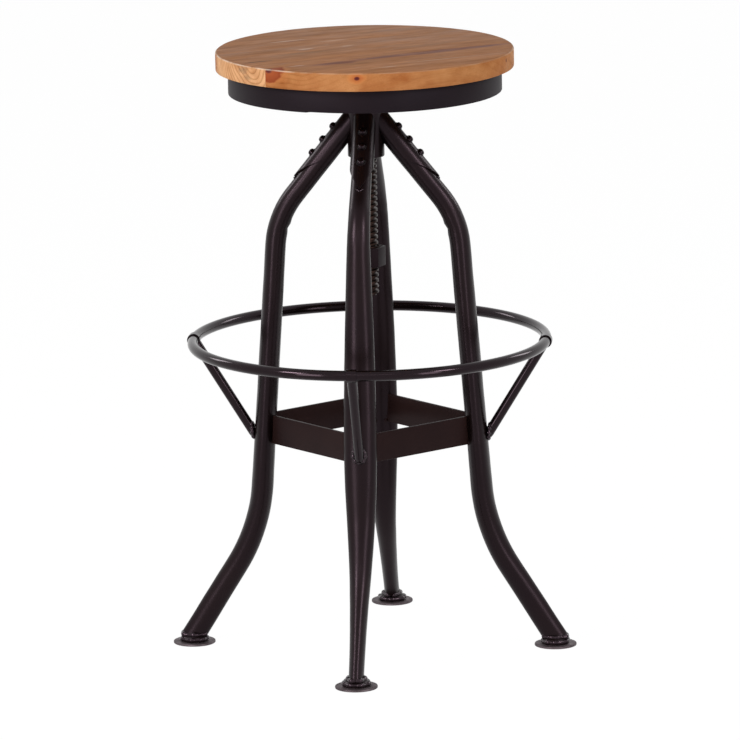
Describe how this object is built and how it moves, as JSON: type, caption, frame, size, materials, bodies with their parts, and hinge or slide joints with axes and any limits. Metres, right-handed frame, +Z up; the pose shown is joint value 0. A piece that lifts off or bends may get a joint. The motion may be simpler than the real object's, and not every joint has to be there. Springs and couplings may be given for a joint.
{
  "type": "bar stool with footrest",
  "caption": "Round wooden seat on a lift screw, bent steel tube legs bolted to a hub, square stretcher frame and a round footrest ring on struts.",
  "frame": {"origin": "on the floor, under the middle of the seat", "axes": "+Z up along the lift screw, -Y towards the front, legs on the diagonals between X and Y"},
  "size_m": [0.4479, 0.448, 0.747],
  "materials": {
    "board_pine": "satin varnish over reclaimed softwood, worn rim",
    "frame_paint": "satin black paint",
    "band_paint": "satin black paint",
    "ring_paint": "gloss black paint",
    "bolt_paint": "satin black paint",
    "oiled_steel": "dark oiled steel",
    "zinc_steel": "zinc plated",
    "bush_iron": "machined, dark",
    "foot_steel": "bare steel, worn"
  },
  "bodies": {
    "base": {"hub_sleeve": "frame_paint", "hub_bush": "bush_iron", "saddle_bolts": "bolt_paint", "footrest_ring": "ring_paint", "leg_front_right": "frame_paint", "saddle_front_right": "frame_paint", "ring_strap_front_right": "ring_paint", "strut_front_right": "ring_paint", "foot_plate_front_right": "foot_steel", "foot_boss_front_right": "frame_paint", "leg_back_right": "frame_paint", "saddle_back_right": "frame_paint", "ring_strap_back_right": "ring_paint", "strut_back_right": "ring_paint", "foot_plate_back_right": "foot_steel", "foot_boss_back_right": "frame_paint", "leg_back_left": "frame_paint", "saddle_back_left": "frame_paint", "ring_strap_back_left": "ring_paint", "strut_back_left": "ring_paint", "foot_plate_back_left": "foot_steel", "foot_boss_back_left": "frame_paint", "leg_front_left": "frame_paint", "saddle_front_left": "frame_paint", "ring_strap_front_left": "ring_paint", "strut_front_left": "ring_paint", "foot_plate_front_left": "foot_steel", "foot_boss_front_left": "frame_paint", "stretcher_front": "frame_paint", "stretcher_right": "frame_paint", "stretcher_back": "frame_paint", "stretcher_left": "frame_paint"},
    "lift": {"stop_washer": "oiled_steel"},
    "seat": {"seat_board_front": "board_pine", "seat_board_middle": "board_pine", "seat_board_rear": "board_pine", "seat_band": "band_paint", "seat_spider": "frame_paint", "seat_screws": "zinc_steel", "screw_flange": "oiled_steel", "flange_bolts": "zinc_steel", "lift_screw": "oiled_steel", "stop_nut": "oiled_steel"}
  },
  "joints": [
    {"name": "seat_lift", "type": "slide", "parent": "base", "child": "lift", "axis": [0, 0, 1], "range_m": [-0.033, 0.11]},
    {"name": "seat_turn", "type": "hinge", "parent": "lift", "child": "seat", "pos_m": [0, 0, 0.6], "axis": [0, 0, 1], "range_deg": [-1745, 5820]}
  ],
  "couplings": [
    {"joint": "seat_lift", "follows": "seat_turn", "m_per_rad": 0.0010823}
  ]
}
